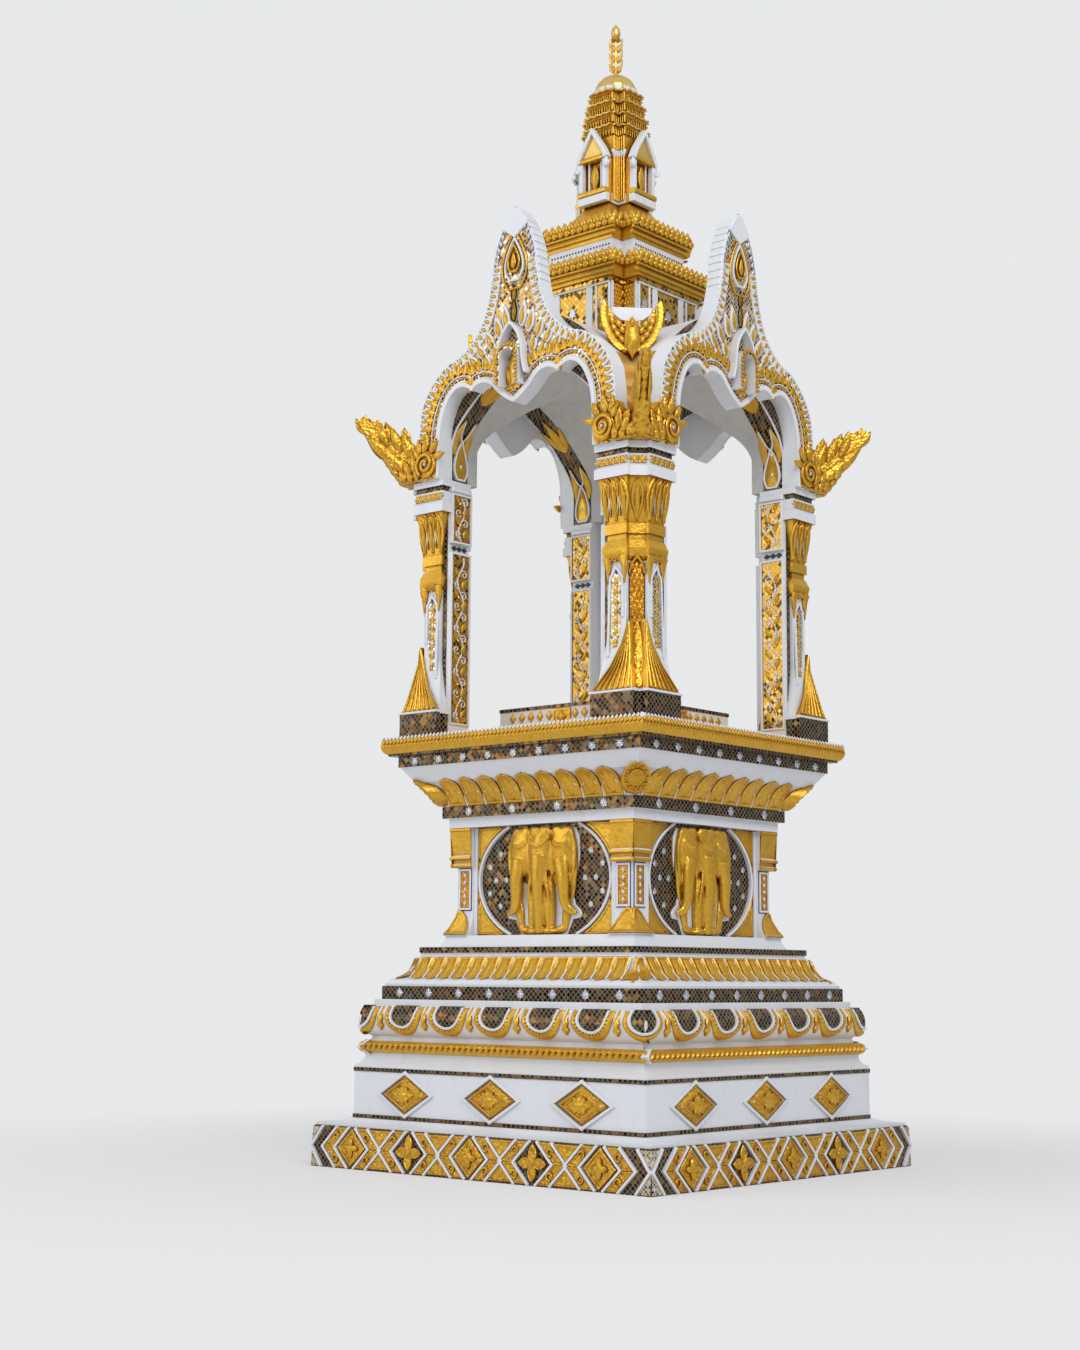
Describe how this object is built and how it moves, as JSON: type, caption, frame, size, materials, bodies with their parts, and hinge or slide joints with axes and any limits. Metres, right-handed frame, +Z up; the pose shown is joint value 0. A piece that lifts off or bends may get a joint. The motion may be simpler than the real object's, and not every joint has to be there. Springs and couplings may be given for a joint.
{
  "type": "four-faced spirit house on a pedestal",
  "caption": "White and gold pavilion shrine with open arches, flame finials and a tiered spire, on a tall moulded square pedestal with lotus tiers and mirror mosaic.",
  "frame": {"origin": "centre of the base's underside, on the ground", "axes": "+Z up, -Y towards the front face, +X to the right seen from the front"},
  "size_m": [1.256, 1.256, 3.565],
  "materials": {
    "white": "painted cast concrete, satin",
    "gold": "gold paint on cast concrete, gloss",
    "mosaic": "small mirror tiles, polished"
  },
  "bodies": {
    "root": {"base_band": "gold", "base_moulding": "white", "diamond_block": "white", "waist_moulding": "white", "rope_moulding": "gold", "swag_cornice": "white", "lower_mirror_band": "mosaic", "lower_lotus_tier": "gold", "body_plinth": "white", "body_wall": "mosaic", "body_fascia": "white", "upper_lotus_tier": "gold", "upper_mirror_band": "mosaic", "platform_edge": "gold", "dais": "white", "block_diamonds": "gold", "elephant_reliefs": "gold", "pilasters": "white", "gable_front": "gold", "gable_right": "gold", "gable_back": "gold", "gable_left": "gold", "pier_back_right": "white", "pier_back_left": "white", "pier_front_left": "white", "pier_front_right": "white", "column_back_right": "white", "column_back_left": "white", "column_front_left": "white", "column_front_right": "white", "roof_back_right": "white", "roof_back_left": "white", "roof_front_left": "white", "roof_front_right": "white", "corner_flames": "gold", "valley_crests": "gold", "drum": "white", "lower_eave": "gold", "eave_band": "white", "upper_eave": "gold", "spire_body": "white", "spire_tiers": "white", "dome": "white", "finial": "gold", "spire_niches": "gold"}
  },
  "joints": []
}
